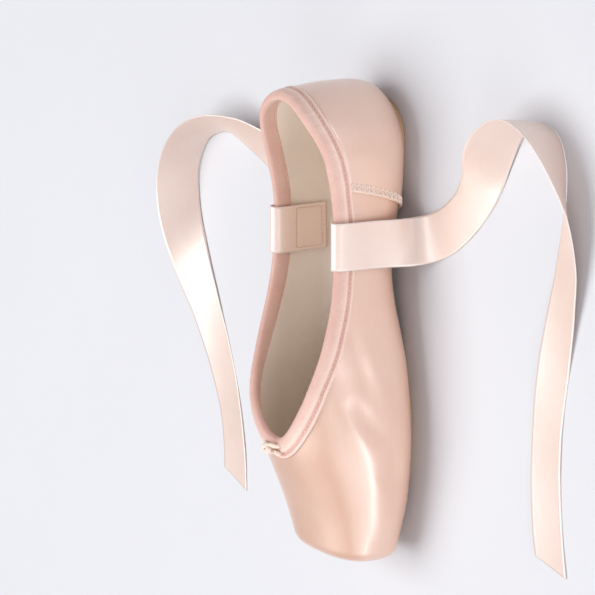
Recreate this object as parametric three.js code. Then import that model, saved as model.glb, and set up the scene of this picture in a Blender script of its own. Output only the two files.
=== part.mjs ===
// Pointe shoe: satin upper with a stiff toe box, heel cover, bound topline, soles and two ribbons.
// Millimetres, +Z up. The toe points along +X and both halves of the shoe are alike.
// The origin is on the floor, under the middle of the length. A station is measured from the heel back.
import * as THREE from "three";

// Driving dimensions
const LENGTH = 222;
const SEAT = 0.3;
const SOLE_THICK = 3.2;
const INSOLE_THICK = 1.6;
const WALL_QUARTER = 1.7;
const WALL_BOX = 2.8;
const BOX_FROM = 130;
const BOX_FULL = 195;
const ARCH_RISE = 5;
const ARCH_FROM = 42;
const ARCH_TOP = 86;
const ARCH_TO = 134;
const TOE_SPRING = 2.5;
const TOE_SPRING_FROM = 178;
const HEEL_ROUND = 33;
const PLATFORM_ROUND = 5.5;
const VAMP_LENGTH = 57;
const THROAT_DEPTH = 27;
const THROAT_TIP_POWER = 1.9;
const THROAT_SIDE_POWER = 1.3;
const LASTING_MARGIN = 6.5;
const COVER_THICK = 0.7;
const SEAM_TOP_STATION = 46;
const SEAM_FOOT_STATION = 60;
const SEAM_BOW = 2;
const BINDING_WIDTH = 8.2;
const RIBBON_WIDTH = 22;
const RIBBON_THICK = 0.5;
const RIBBON_STATION = 71;

// The outer form of the upper. Heights are over the feather plane, on which the outsole is sewn.
// half: greatest half width, wide: height of that width, crown: top of the full section,
// low and top: how square the section is below and above its widest line, 2 being an ellipse.
const SECTIONS = [
  { station: 0, half: 29.5, wide: 21, crown: 84, low: 3.6, top: 2.1 },
  { station: 33, half: 29.5, wide: 20, crown: 84, low: 3.6, top: 2.1 },
  { station: 56, half: 28.6, wide: 19.5, crown: 84, low: 3.6, top: 2.1 },
  { station: 80, half: 29, wide: 18.5, crown: 80, low: 3.6, top: 2.1 },
  { station: 104, half: 31.5, wide: 18.5, crown: 72, low: 3.6, top: 2.1 },
  { station: 128, half: 36, wide: 18.5, crown: 66, low: 3.6, top: 2.1 },
  { station: 148, half: 39.5, wide: 18.5, crown: 61.5, low: 3.6, top: 2.2 },
  { station: 166, half: 40.4, wide: 18, crown: 56, low: 3.6, top: 2.3 },
  { station: 184, half: 38.4, wide: 17, crown: 48, low: 3.6, top: 2.4 },
  { station: 202, half: 34.4, wide: 16.5, crown: 40, low: 3.5, top: 2.5 },
  { station: 222, half: 28.8, wide: 16, crown: 32.5, low: 3.3, top: 2.6 },
];

// Height of the topline over the floor
const TOPLINE = [
  { station: 0, height: 57 },
  { station: 12, height: 55.5 },
  { station: 34, height: 47.5 },
  { station: 62, height: 43 },
  { station: 92, height: 44.5 },
  { station: 116, height: 50 },
  { station: 138, height: 57 },
];

// The outsole's two rounded ends, its bevel and its half width
const SOLE_BACK = 9;
const SOLE_FRONT = 200;
const SOLE_BACK_ROUND = 18;
const SOLE_FRONT_ROUND = 26;
const SOLE_BEVEL = 1.6;
const SOLE_WIDTHS = [
  { station: 9, half: 17.5 },
  { station: 38, half: 17 },
  { station: 82, half: 13.5 },
  { station: 122, half: 18.5 },
  { station: 158, half: 25.5 },
  { station: 200, half: 23 },
];

// The insole's ends and how far it climbs the inner wall at its edge
const INSOLE_BACK = 14;
const INSOLE_FRONT = 211;
const INSOLE_FRONT_ROUND = 26;
const INSOLE_RISE = 1.8;

// Section of the binding: depth below the topline and distance from the upper's outer or inner face.
// The swell is the casing that the drawstring runs in, and the narrow below it is stitched down.
const BINDING_OUTSIDE = [
  { depth: -SEAT, off: SEAT },
  { depth: BINDING_WIDTH / 2, off: SEAT },
  { depth: BINDING_WIDTH, off: SEAT },
  { depth: BINDING_WIDTH, off: 0.9 },
  { depth: 5.6, off: 0.9 },
  { depth: 3.2, off: 1.6 },
  { depth: 0.7, off: 1.4 },
  { depth: -1.2, off: -0.3 },
];
const BINDING_INSIDE = [
  { depth: -1.2, off: 0.1 },
  { depth: 0.8, off: 1 },
  { depth: 7.5, off: 0.9 },
  { depth: 7.5, off: SEAT },
  { depth: -SEAT, off: SEAT },
];

// The knotted drawstring: where its middle sits below the topline and off the upper's outer face,
// then from end to end how far it lies across the throat, forward of and above that, and its radius
const KNOT_DEPTH = 1.5;
const KNOT_OFF = 4.1;
const KNOT = [
  { across: -6.2, ahead: -1.2, above: 1.5, radius: 0.7 },
  { across: -5.4, ahead: -0.8, above: 1.3, radius: 1.2 },
  { across: -3, ahead: 0.3, above: 0.3, radius: 1.2 },
  { across: -2.2, ahead: 0.3, above: 0.2, radius: 2 },
  { across: 0, ahead: 0, above: 0.2, radius: 2.5 },
  { across: 2.2, ahead: -0.2, above: 0.2, radius: 2 },
  { across: 3, ahead: -0.2, above: 0.3, radius: 1.2 },
  { across: 5, ahead: 1, above: 1, radius: 1.2 },
  { across: 5.8, ahead: 1.5, above: 1.3, radius: 0.7 },
];

// A ribbon over the topline, from its sewn end inside: depth below the topline
// and distance off the upper's outer face
const RIBBON_COLLAR = [
  { depth: 27, off: -2.6 },
  { depth: 18, off: -2.8 },
  { depth: 10, off: -3.7 },
  { depth: 3, off: -4 },
  { depth: -1, off: -3.4 },
  { depth: -3, off: -0.8 },
  { depth: -1.8, off: 2 },
  { depth: 1.6, off: 3.1 },
  { depth: 8, off: 3.1 },
  { depth: 17, off: 2.9 },
];

// Each ribbon from the quarter down to its end on the floor: the middle of its width,
// the height of its lower edge and how far it tips up onto that edge, in degrees
const RIBBON_OUTER = [
  { x: -39.5, y: 33.5, z: 14, tilt: 0 },
  { x: -40, y: 36, z: 6, tilt: 0 },
  { x: -42.5, y: 43, z: 1.2, tilt: 0 },
  { x: -48, y: 55, z: 0.5, tilt: 0 },
  { x: -58, y: 69, z: 0.5, tilt: 3 },
  { x: -71, y: 83, z: 0.5, tilt: 18 },
  { x: -86, y: 96, z: 0.5, tilt: 48 },
  { x: -99, y: 109, z: 0.5, tilt: 74 },
  { x: -106, y: 124, z: 0.5, tilt: 84 },
  { x: -102, y: 139, z: 0.5, tilt: 78 },
  { x: -88, y: 149, z: 0.5, tilt: 58 },
  { x: -69, y: 152, z: 0.5, tilt: 33 },
  { x: -47, y: 149, z: 0.5, tilt: 14 },
  { x: -24, y: 143, z: 0.5, tilt: 4 },
  { x: 0, y: 137, z: 0.5, tilt: 0 },
  { x: 24, y: 133, z: 0.5, tilt: 0 },
  { x: 48, y: 132, z: 0.5, tilt: 0 },
  { x: 72, y: 134, z: 0.5, tilt: 0 },
  { x: 94, y: 138, z: 0.5, tilt: 0 },
];
const RIBBON_INNER = [
  { x: -39.5, y: -33.5, z: 14, tilt: 0 },
  { x: -39.5, y: -36, z: 6, tilt: 0 },
  { x: -40.5, y: -43, z: 1.2, tilt: 0 },
  { x: -45, y: -58, z: 0.5, tilt: 0 },
  { x: -53, y: -78, z: 0.5, tilt: -3 },
  { x: -62, y: -99, z: 0.5, tilt: -12 },
  { x: -70, y: -122, z: 0.5, tilt: -36 },
  { x: -72, y: -147, z: 0.5, tilt: -66 },
  { x: -63, y: -169, z: 0.5, tilt: -80 },
  { x: -45, y: -182, z: 0.5, tilt: -76 },
  { x: -22, y: -184, z: 0.5, tilt: -56 },
  { x: 2, y: -178, z: 0.5, tilt: -33 },
  { x: 26, y: -168, z: 0.5, tilt: -14 },
  { x: 50, y: -157, z: 0.5, tilt: -4 },
  { x: 74, y: -148, z: 0.5, tilt: 0 },
  { x: 97, y: -143, z: 0.5, tilt: 0 },
  { x: 117, y: -142, z: 0.5, tilt: 0 },
];

// How finely the solids are cut
const HEEL_RIBS = 8;
const SIDE_RIBS = 12;
const TOE_RIBS = 17;
const RIB_POINTS = 19;
const RIB_RAYS = 320;
const RIB_LOWEST = -88;
const RIB_HIGHEST = 78;
const SPINE_HEIGHT = 21;
const RAY_REACH = 150;
const TURN_WEIGHT = 9;
const TOE_FAN_SQUARE = 2.4;
const HALVINGS = 30;
const SOLE_STEPS = 40;
const SOLE_CROWDING = 0.75;
const SOLE_TIP = 0.2;
const SOLE_SHARES = [0.4, 0.75, 1];
const COVER_COLUMNS = 16;
const COVER_ROWS = 11;
const KNOT_SIDES = 8;
const RIBBON_STEP = 9;

// What follows from the sizes above
const COVER_OUT = SEAT + COVER_THICK;
const HEEL_PIVOT = HEEL_ROUND;
const TOE_PIVOT = LENGTH - VAMP_LENGTH - THROAT_DEPTH;
const HEEL_PLACE = 1;
const SIDE_PLACE = 2;
const TOE_PLACE = 3;

const { clamp, lerp, degToRad, smoothstep } = THREE.MathUtils;
const stationOf = (x) => x + (LENGTH - COVER_OUT) / 2;
const xOf = (station) => station - (LENGTH - COVER_OUT) / 2;

// A smooth curve through one column of a table
function column(table, name, station) {
  const last = table.length - 1;
  const s = clamp(station, table[0].station, table[last].station);
  let k = 0;
  while (k < last - 1 && s > table[k + 1].station) k += 1;
  const slope = (i) => {
    const a = table[Math.max(i - 1, 0)];
    const b = table[Math.min(i + 1, last)];
    return (b[name] - a[name]) / (b.station - a.station);
  };
  const span = table[k + 1].station - table[k].station;
  const u = (s - table[k].station) / span;
  const rise = table[k + 1][name] - table[k][name];
  const bend = (slope(k) * span - rise) * (1 - u) - (slope(k + 1) * span - rise) * u;
  return table[k][name] + u * rise + u * (1 - u) * bend;
}

// How far the underside is lifted off the floor by the arch and the toe spring
function lift(station) {
  const arch = smoothstep(station, ARCH_FROM, ARCH_TOP) * (1 - smoothstep(station, ARCH_TOP, ARCH_TO));
  const toe = clamp((station - TOE_SPRING_FROM) / (LENGTH - TOE_SPRING_FROM), 0, 1);
  return ARCH_RISE * arch + TOE_SPRING * toe * toe;
}

// Thickness of the upper's wall, which grows from the quarter to the stiff toe box
const wallAt = (station) => lerp(WALL_QUARTER, WALL_BOX, smoothstep(station, BOX_FROM, BOX_FULL));

// Below zero inside the upper's outer form, zero on it and above zero outside
function formValue(p) {
  const station = stationOf(p.x);
  const past = (station - LENGTH) / PLATFORM_ROUND;
  if (past > 0) return past;
  const intoRound = Math.max(0, station - (LENGTH - PLATFORM_ROUND));
  const inset = PLATFORM_ROUND - Math.sqrt(PLATFORM_ROUND ** 2 - intoRound ** 2);
  const half = column(SECTIONS, "half", station) - inset;
  const wide = column(SECTIONS, "wide", station);
  const up = p.z - lift(station) - SOLE_THICK - SEAT - wide;
  const reach = up < 0 ? wide : column(SECTIONS, "crown", station) - wide;
  const square = column(SECTIONS, up < 0 ? "low" : "top", station);
  const plan = Math.hypot(p.y / half, Math.max(0, 1 - station / HEEL_ROUND));
  const section = plan ** square + Math.abs(up / (reach - inset)) ** square - 1;
  return Math.max(section, past);
}

// The outward direction of the form at a point on it
function outward(p) {
  const step = 0.05;
  const along = (axis) => {
    const a = p.clone();
    const b = p.clone();
    a[axis] -= step;
    b[axis] += step;
    return formValue(b) - formValue(a);
  };
  return new THREE.Vector3(along("x"), along("y"), along("z")).normalize();
}

// Below zero inside the outsole's outline drawn in by an inset
function soleValue(x, y, inset) {
  const station = stationOf(x);
  const half = column(SOLE_WIDTHS, "half", station) - inset;
  const back = (SOLE_BACK + SOLE_BACK_ROUND - station) / (SOLE_BACK_ROUND - inset);
  const front = (station - SOLE_FRONT + SOLE_FRONT_ROUND) / (SOLE_FRONT_ROUND - inset);
  return Math.hypot(y / half, Math.max(0, back, front)) - 1;
}

// The distance at which a value that grows along a ray passes zero
function crossing(value, reach) {
  let near = 0;
  let far = reach;
  for (let i = 0; i < HALVINGS; i += 1) {
    const middle = (near + far) / 2;
    if (value(middle) < 0) near = middle;
    else far = middle;
  }
  return far;
}

// Where a rib stands: a fan round the heel, then the side, then a fan round the toe.
// A place runs from 0 at the heel back through 1 and 2 along the side to 3 at the toe.
function ribFrame(place) {
  let station = lerp(HEEL_PIVOT, TOE_PIVOT, clamp(place - HEEL_PLACE, 0, 1));
  let azimuth = Math.PI / 2;
  if (place < HEEL_PLACE) azimuth = Math.PI - (place * Math.PI) / 2;
  if (place > SIDE_PLACE) {
    const turn = ((TOE_PLACE - place) * Math.PI) / 2;
    const ahead = (LENGTH - TOE_PIVOT) * Math.cos(turn) ** (2 / TOE_FAN_SQUARE);
    const aside = column(SECTIONS, "half", TOE_PIVOT) * Math.sin(turn) ** (2 / TOE_FAN_SQUARE);
    azimuth = Math.atan2(aside, ahead);
    station = TOE_PIVOT;
  }
  return { pivot: new THREE.Vector3(xOf(station), 0, SPINE_HEIGHT + lift(station)), azimuth };
}

const placeOf = (station) => HEEL_PLACE + (station - HEEL_PIVOT) / (TOE_PIVOT - HEEL_PIVOT);

// Half width of the opening where the side meets the throat's curve, which runs to a round tip
const THROAT_HALF = (() => {
  const z = column(TOPLINE, "height", TOE_PIVOT);
  return crossing((y) => formValue(new THREE.Vector3(xOf(TOE_PIVOT), y, z)), RAY_REACH);
})();

// True for a point of a rib that lies above the topline
function aboveTopline(p, place, planReach, azimuth) {
  if (place <= SIDE_PLACE) return p.z > column(TOPLINE, "height", stationOf(p.x));
  const ahead = Math.abs((planReach * Math.cos(azimuth)) / THROAT_DEPTH);
  const aside = Math.abs((planReach * Math.sin(azimuth)) / THROAT_HALF);
  return p.z > SPINE_HEIGHT && ahead ** THROAT_SIDE_POWER + aside ** THROAT_TIP_POWER < 1;
}

// A rib: points of the form in one upright plane, with the lengths along it
// of the feather edge, the outsole's edge and the topline
const ribs = new Map();
function ribAt(place) {
  if (ribs.has(place)) return ribs.get(place);
  const { pivot, azimuth } = ribFrame(place);
  const ahead = new THREE.Vector3(Math.cos(azimuth), Math.sin(azimuth), 0);
  const soleAt = (r, inset) => soleValue(pivot.x + r * ahead.x, r * ahead.y, inset);
  const planCut = (inset) => crossing((r) => soleAt(r, inset), RAY_REACH);
  const feather = planCut(LASTING_MARGIN);
  const soleEdge = planCut(-2 * SEAT);
  const rib = { points: [], lengths: [], bottom: 0, soleEdge: 0, top: 0 };
  for (let i = 0; i <= RIB_RAYS; i += 1) {
    const angle = degToRad(lerp(RIB_LOWEST, RIB_HIGHEST, i / RIB_RAYS));
    const ray = ahead.clone().multiplyScalar(Math.cos(angle)).setZ(Math.sin(angle));
    const r = crossing((t) => formValue(pivot.clone().addScaledVector(ray, t)), RAY_REACH);
    const point = pivot.clone().addScaledVector(ray, r);
    const before = rib.points.at(-1);
    const length = before ? rib.lengths.at(-1) + point.distanceTo(before) : 0;
    const planReach = r * Math.cos(angle);
    if (angle < 0 && planReach < feather) rib.bottom = length;
    if (angle < 0 && planReach < soleEdge) rib.soleEdge = length;
    if (!aboveTopline(point, place, planReach, azimuth)) rib.top = length;
    rib.points.push(point);
    rib.lengths.push(length);
  }
  ribs.set(place, rib);
  return rib;
}

// The point of a rib at a length along it
function alongRib(rib, length) {
  let k = 0;
  while (k < rib.lengths.length - 2 && rib.lengths[k + 1] < length) k += 1;
  const share = (length - rib.lengths[k]) / (rib.lengths[k + 1] - rib.lengths[k]);
  return rib.points[k].clone().lerp(rib.points[k + 1], share);
}

// A point of the form a depth below the topline, pushed outward by an offset
function skin(place, depth, offset) {
  const rib = ribAt(place);
  const point = alongRib(rib, rib.top - depth);
  return point.addScaledVector(outward(point), offset);
}

// Depths below the topline between two lengths of a rib, from the lower up, that crowd where the rib turns
function crowdedDepths(rib, from, to, count) {
  const steps = 240;
  const lengths = Array.from({ length: steps + 1 }, (_, i) => lerp(from, to, i / steps));
  const facing = lengths.map((length) => outward(alongRib(rib, length)));
  const effort = [0];
  for (let i = 1; i <= steps; i += 1) {
    const turn = facing[i].angleTo(facing[i - 1]);
    effort.push(effort[i - 1] + lengths[i] - lengths[i - 1] + TURN_WEIGHT * turn);
  }
  return Array.from({ length: count }, (_, k) => {
    const target = (effort[steps] * k) / (count - 1);
    let i = 1;
    while (i < steps && effort[i] < target) i += 1;
    const share = (target - effort[i - 1]) / (effort[i] - effort[i - 1]);
    return rib.top - lerp(lengths[i - 1], lengths[i], share);
  });
}

// A closed solid through sections with the same number of points, each four-cornered patch split
// along its shorter diagonal. Unless the sections close in a ring, each end is capped between
// the first half of its section and the second.
function loft(sections, ring) {
  const count = sections[0].length;
  const points = sections.flat();
  const index = [];
  const joins = ring ? sections.length : sections.length - 1;
  for (let i = 0; i < joins; i += 1) {
    const a = i * count;
    const b = ((i + 1) % sections.length) * count;
    for (let k = 0; k < count; k += 1) {
      const n = (k + 1) % count;
      const [p, q, r, t] = [a + k, a + n, b + n, b + k];
      const shorter = points[p].distanceTo(points[r]) < points[q].distanceTo(points[t]);
      index.push(...(shorter ? [p, q, r, p, r, t] : [p, q, t, q, r, t]));
    }
  }
  if (!ring) {
    const end = (sections.length - 1) * count;
    for (let k = 0; k < count / 2 - 1; k += 1) {
      const [p, q, r, s] = [k, k + 1, count - 2 - k, count - 1 - k];
      index.push(p, r, q, p, s, r);
      index.push(end + p, end + q, end + r, end + p, end + r, end + s);
    }
  }
  const geometry = new THREE.BufferGeometry();
  const position = points.flatMap((p) => p.toArray());
  geometry.setAttribute("position", new THREE.Float32BufferAttribute(position, 3));
  geometry.setIndex(index);
  geometry.computeVertexNormals();
  return geometry;
}

const mirrored = (points) => points.map((p) => new THREE.Vector3(p.x, -p.y, p.z));

// Sections of one half, from the heel back to the toe, carried on round the other half
function roundTheShoe(sectionAt) {
  const places = [];
  for (let i = 0; i < HEEL_RIBS; i += 1) places.push((HEEL_PLACE * i) / HEEL_RIBS);
  for (let i = 0; i < SIDE_RIBS; i += 1) places.push(HEEL_PLACE + i / SIDE_RIBS);
  for (let i = 0; i <= TOE_RIBS; i += 1) places.push(SIDE_PLACE + i / TOE_RIBS);
  const half = places.map(sectionAt);
  const back = half.slice(1, -1).reverse().map(mirrored);
  return [...half, ...back];
}

function upperSection(place) {
  const rib = ribAt(place);
  const depths = crowdedDepths(rib, rib.bottom, rib.top, RIB_POINTS);
  const outside = depths.map((depth) => skin(place, depth, 0));
  const inside = depths.map((depth, k) => skin(place, depth, -wallAt(stationOf(outside[k].x))));
  return [...outside, ...inside.reverse()];
}

// Stations from one end of a plate to the other, crowded toward both ends
function plateStations(back, front) {
  return Array.from({ length: SOLE_STEPS + 1 }, (_, i) => {
    const even = i / SOLE_STEPS;
    const crowded = (1 - Math.cos(Math.PI * even)) / 2;
    return lerp(back, front, lerp(even, crowded, SOLE_CROWDING));
  });
}

// Height of the form's underside
function underside(x, y) {
  const station = stationOf(x);
  const middle = lift(station) + SOLE_THICK + SEAT + column(SECTIONS, "wide", station);
  return middle - crossing((down) => formValue(new THREE.Vector3(x, y, middle - down)), RAY_REACH);
}

function outsoleSection(station) {
  const x = xOf(station);
  const half = crossing((y) => soleValue(x, y, 0), RAY_REACH);
  const floor = lift(station);
  const tops = SOLE_SHARES.map((share) => {
    const y = half * share;
    return new THREE.Vector3(x, y, underside(x, y) - SEAT);
  });
  const side = [
    new THREE.Vector3(x, half - Math.min(SOLE_BEVEL, half / 2), floor),
    new THREE.Vector3(x, half, floor + SOLE_BEVEL),
    ...tops.reverse(),
  ];
  return [...mirrored(side).reverse(), ...side];
}

// The insole lies on the inner floor and follows it up a little at its edge
function insoleSection(station) {
  const x = xOf(station);
  const low = column(SECTIONS, "low", station);
  const wide = column(SECTIONS, "wide", station);
  const reach = (1 - (1 - INSOLE_RISE / wide) ** low) ** (1 / low);
  const heel = Math.max(0, 1 - station / HEEL_ROUND);
  const toe = Math.max(0, 1 - (INSOLE_FRONT - station) / INSOLE_FRONT_ROUND);
  const ends = Math.sqrt(reach ** 2 - heel ** 2) * Math.sqrt(1 - toe ** 2);
  const half = column(SECTIONS, "half", station) * ends;
  const ups = SOLE_SHARES.map((share) => {
    const floor = underside(x, half * share) + wallAt(station) + 2 * SEAT;
    return new THREE.Vector3(x, half * share, floor);
  });
  const tops = ups.map((p) => p.clone().setZ(p.z + INSOLE_THICK)).reverse();
  const side = [...ups, ...tops];
  return [...mirrored(side).reverse(), ...side];
}

// The heel cover laps the quarters from under the binding down to the outsole's edge.
// A share runs from 0 at the heel back to 1 at the seam, which leans forward toward its foot.
function coverSection(share) {
  const rows = Array.from({ length: COVER_ROWS }, (_, row) => {
    const rise = row / (COVER_ROWS - 1);
    const bow = SEAM_BOW * Math.sin(Math.PI * rise);
    const place = placeOf(lerp(SEAM_FOOT_STATION, SEAM_TOP_STATION, rise) - bow) * share;
    const rib = ribAt(place);
    const depths = crowdedDepths(rib, rib.soleEdge, rib.top - BINDING_WIDTH - 2 * SEAT, COVER_ROWS);
    return { place, depth: depths[row] };
  });
  const outside = rows.map(({ place, depth }) => skin(place, depth, COVER_OUT));
  const inside = rows.map(({ place, depth }) => skin(place, depth, SEAT));
  return [...outside, ...inside.reverse()];
}

function coverSections() {
  const half = Array.from({ length: COVER_COLUMNS + 1 }, (_, i) => coverSection(i / COVER_COLUMNS));
  return [...half.slice(1).reverse().map(mirrored), ...half];
}

function bindingSection(place) {
  const outside = BINDING_OUTSIDE.map(({ depth, off }) => skin(place, depth, off));
  const inside = BINDING_INSIDE.map(({ depth, off }) => {
    const wall = wallAt(stationOf(skin(place, depth, 0).x));
    return skin(place, depth, -wall - off);
  });
  return [...outside, ...inside];
}

// The knot sits on the binding in the middle of the throat
function knotSections() {
  const seat = skin(TOE_PLACE, KNOT_DEPTH, KNOT_OFF);
  return KNOT.map(({ across, ahead, above, radius }) =>
    Array.from({ length: KNOT_SIDES }, (_, i) => {
      const turn = (2 * Math.PI * (i + 0.5)) / KNOT_SIDES;
      const x = seat.x + ahead - radius * Math.cos(turn);
      return new THREE.Vector3(x, across, seat.z + above + radius * Math.sin(turn));
    }),
  );
}

// A ribbon's rectangle, square to its run
function ribbonSection(middle, along, across) {
  const face = new THREE.Vector3().crossVectors(along, across).normalize();
  const corner = (a, f) => {
    const edge = middle.clone().addScaledVector(across, (a * RIBBON_WIDTH) / 2);
    return edge.addScaledVector(face, (f * RIBBON_THICK) / 2);
  };
  return [corner(-1, -1), corner(1, -1), corner(1, 1), corner(-1, 1)];
}

// A ribbon from inside the quarter on one side, over the topline and along its route on the floor
function ribbonSections(route, side) {
  const place = placeOf(RIBBON_STATION);
  const collar = RIBBON_COLLAR.map(({ depth, off }) => skin(place, depth, off));
  const hung = collar.map((p) => p.setY(p.y * side));
  const laid = route.map(({ x, y, z, tilt }) => {
    const raised = (RIBBON_WIDTH / 2) * Math.abs(Math.sin(degToRad(tilt)));
    return new THREE.Vector3(x, y, z + raised);
  });
  const run = new THREE.CatmullRomCurve3([...hung, ...laid], false, "catmullrom");
  const tilts = [...hung.map(() => 0), ...route.map(({ tilt }) => tilt)];
  const last = tilts.length - 1;
  const sections = [];
  for (let k = 0; k < last; k += 1) {
    const steps = Math.ceil(run.points[k].distanceTo(run.points[k + 1]) / RIBBON_STEP);
    for (let i = k === 0 ? 0 : 1; i <= steps; i += 1) {
      const u = (k + i / steps) / last;
      const along = run.getTangent(u);
      const level = new THREE.Vector3(side, 0, 0);
      if (k >= hung.length) level.set(along.y, -along.x, 0).normalize();
      const tilt = degToRad(lerp(tilts[k], tilts[k + 1], i / steps));
      const across = level.applyAxisAngle(along, tilt);
      sections.push(ribbonSection(run.getPoint(u), along, across));
    }
  }
  return sections;
}

const material = (color, roughness) => new THREE.MeshStandardMaterial({ color, roughness });

const shoe = new THREE.Group();
function add(name, geometry, look) {
  const mesh = new THREE.Mesh(geometry, look);
  mesh.name = name;
  shoe.add(mesh);
}

const soleStations = plateStations(SOLE_BACK + SOLE_TIP, SOLE_FRONT - SOLE_TIP);
const insoleStations = plateStations(INSOLE_BACK, INSOLE_FRONT - 2 * SOLE_TIP);
add("upper", loft(roundTheShoe(upperSection), true), material("#f2b8a0", 0.4));
add("outsole", loft(soleStations.map(outsoleSection), false), material("#c9a27e", 0.8));
add("insole", loft(insoleStations.map(insoleSection), false), material("#e8d8c4", 0.9));
add("heel_cover", loft(coverSections(), false), material("#f6c4ae", 0.4));
add("binding", loft(roundTheShoe(bindingSection), true), material("#efbfb2", 0.7));
add("drawstring_knot", loft(knotSections(), false), material("#f6ddd0", 0.8));
add("ribbon_outer", loft(ribbonSections(RIBBON_OUTER, 1), false), material("#f6cdbd", 0.35));
add("ribbon_inner", loft(ribbonSections(RIBBON_INNER, -1), false), material("#f6cdbd", 0.35));

export default shoe;
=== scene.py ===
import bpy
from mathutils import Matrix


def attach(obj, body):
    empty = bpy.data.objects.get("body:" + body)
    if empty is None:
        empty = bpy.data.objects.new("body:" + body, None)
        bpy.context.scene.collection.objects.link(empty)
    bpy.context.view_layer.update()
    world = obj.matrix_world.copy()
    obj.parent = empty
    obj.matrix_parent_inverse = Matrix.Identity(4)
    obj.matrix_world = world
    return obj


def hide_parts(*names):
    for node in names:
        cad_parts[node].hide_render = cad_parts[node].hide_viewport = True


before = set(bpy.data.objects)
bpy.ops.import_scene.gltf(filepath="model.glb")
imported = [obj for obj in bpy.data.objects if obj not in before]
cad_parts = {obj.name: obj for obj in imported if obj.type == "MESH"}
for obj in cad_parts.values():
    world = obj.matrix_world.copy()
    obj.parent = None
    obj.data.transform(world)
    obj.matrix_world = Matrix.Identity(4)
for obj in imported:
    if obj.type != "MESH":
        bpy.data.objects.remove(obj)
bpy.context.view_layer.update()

import math

import bmesh
import bpy
import numpy as np
from mathutils import Matrix, Vector

MM = 0.001


def table(names, *rows):
    """A short table as one array for each named column."""
    return dict(zip(names.split(), np.array(rows, float).T))


# Sizes that the looks share with the solids
LENGTH = 222
SEAT = 0.3
SOLE_THICK = 3.2
INSOLE_THICK = 1.6
WALL_QUARTER = 1.7
WALL_BOX = 2.8
BOX_GROWS = (130, 195)
ARCH_RISE = 5
ARCH_FROM = 42
ARCH_TOP = 86
ARCH_TO = 134
TOE_SPRING = 2.5
TOE_SPRING_FROM = 178
HEEL_ROUND = 33
PLATFORM_ROUND = 5.5
VAMP_LENGTH = 57
THROAT_DEPTH = 27
THROAT_TIP_POWER = 1.9
THROAT_SIDE_POWER = 1.3
LASTING_MARGIN = 6.5
COVER_THICK = 0.7
SEAM_TOP_STATION = 46
SEAM_FOOT_STATION = 60
SEAM_BOW = 2
RIBBON_WIDTH = 22
RIBBON_THICK = 0.5
RIBBON_STATION = 71
SPINE_HEIGHT = 21
TOE_FAN_SQUARE = 2.4

# What follows from the sizes above
COVER_OUT = SEAT + COVER_THICK
TOE_PIVOT = LENGTH - VAMP_LENGTH - THROAT_DEPTH

# Places where the heel's fan ends, where the toe's fan starts and at the tip of the toe
HEEL_PLACE = 1
SIDE_PLACE = 2
TOE_PLACE = 3

# How finely the form is searched: ribs round the heel, along the side and round the toe, the first
# and last angle of each rib's rays in degrees and their number, and the depths that are kept
RIB_COUNTS = (120, 140, 241)
RIB_ANGLES = (-88, 78, 481)
RAY_REACH = 150.0
HALVINGS = 34
SLOPE_STEP = 0.05
DEPTH_FROM = -12
DEPTH_TO = 135
DEPTH_STEP = 0.25
DEPTHS = np.arange(DEPTH_FROM, DEPTH_TO, DEPTH_STEP)

# The outer form, its topline and the outsole's half width
SECTIONS = table(
    "station half wide crown low top",
    (0, 29.5, 21, 84, 3.6, 2.1),
    (33, 29.5, 20, 84, 3.6, 2.1),
    (56, 28.6, 19.5, 84, 3.6, 2.1),
    (80, 29, 18.5, 80, 3.6, 2.1),
    (104, 31.5, 18.5, 72, 3.6, 2.1),
    (128, 36, 18.5, 66, 3.6, 2.1),
    (148, 39.5, 18.5, 61.5, 3.6, 2.2),
    (166, 40.4, 18, 56, 3.6, 2.3),
    (184, 38.4, 17, 48, 3.6, 2.4),
    (202, 34.4, 16.5, 40, 3.5, 2.5),
    (222, 28.8, 16, 32.5, 3.3, 2.6),
)
TOPLINE = table(
    "station height",
    (0, 57), (12, 55.5), (34, 47.5), (62, 43), (92, 44.5), (116, 50), (138, 57),
)
SOLE_WIDTHS = table(
    "station half",
    (9, 17.5), (38, 17), (82, 13.5), (122, 18.5), (158, 25.5), (200, 23),
)
SOLE_BACK = 9
SOLE_FRONT = 200
SOLE_BACK_ROUND = 18
SOLE_FRONT_ROUND = 26
SOLE_BEVEL = 1.6
INSOLE_BACK = 14
INSOLE_FRONT = 211
INSOLE_FRONT_ROUND = 26
INSOLE_RISE = 1.8

# A ribbon over the topline, then each ribbon's route on the floor, with the tip onto its edge in degrees
RIBBON_COLLAR = table(
    "depth off",
    (27, -2.6), (18, -2.8), (10, -3.7), (3, -4), (-1, -3.4), (-3, -0.8), (-1.8, 2), (1.6, 3.1),
    (8, 3.1), (17, 2.9),
)
RIBBON_OUTER = table(
    "x y z tilt",
    (-39.5, 33.5, 14, 0), (-40, 36, 6, 0), (-42.5, 43, 1.2, 0), (-48, 55, 0.5, 0),
    (-58, 69, 0.5, 3), (-71, 83, 0.5, 18), (-86, 96, 0.5, 48), (-99, 109, 0.5, 74),
    (-106, 124, 0.5, 84), (-102, 139, 0.5, 78), (-88, 149, 0.5, 58), (-69, 152, 0.5, 33),
    (-47, 149, 0.5, 14), (-24, 143, 0.5, 4), (0, 137, 0.5, 0), (24, 133, 0.5, 0),
    (48, 132, 0.5, 0), (72, 134, 0.5, 0), (94, 138, 0.5, 0),
)
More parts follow.
